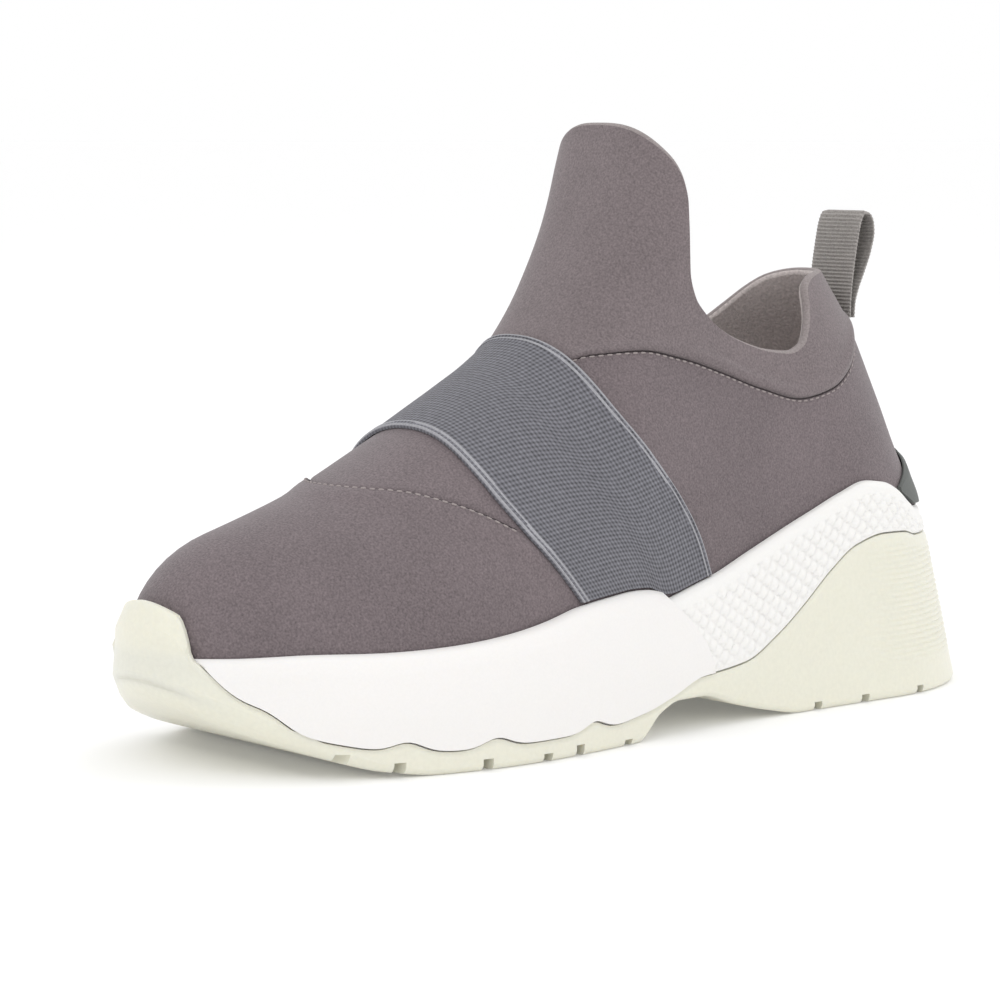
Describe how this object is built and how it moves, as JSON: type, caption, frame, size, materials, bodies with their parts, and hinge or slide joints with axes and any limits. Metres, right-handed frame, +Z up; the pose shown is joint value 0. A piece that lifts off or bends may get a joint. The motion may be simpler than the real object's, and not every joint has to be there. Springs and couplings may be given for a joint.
{
  "type": "slip-on sneaker",
  "caption": "Left slip-on sneaker with a bootie upper, instep strap, heel pull loop, thick two-part midsole and wrapped outsole.",
  "frame": {"origin": "middle of the shoe's bounding box, on the floor", "axes": "+Z up from the floor, toe towards -Y, outer side of the foot towards +X"},
  "size_m": [0.1054, 0.2765, 0.1603],
  "materials": {
    "bootie_knit": "soft matt knit over foam",
    "midsole_white": "smooth satin foam",
    "quilted_white": "satin foam with small raised cells",
    "cream_rubber": "translucent matt rubber",
    "insole_fabric": "matt",
    "strap_elastic": "ribbed woven elastic",
    "counter_overlay": "matt film",
    "ribbon_taupe": "ribbed ribbon"
  },
  "bodies": {
    "root": {"upper": "bootie_knit", "midsole_front": "midsole_white", "midsole_rear": "quilted_white", "outsole": "cream_rubber", "insole": "insole_fabric", "instep_strap": "strap_elastic", "heel_counter": "counter_overlay", "heel_loop": "ribbon_taupe"}
  },
  "joints": []
}
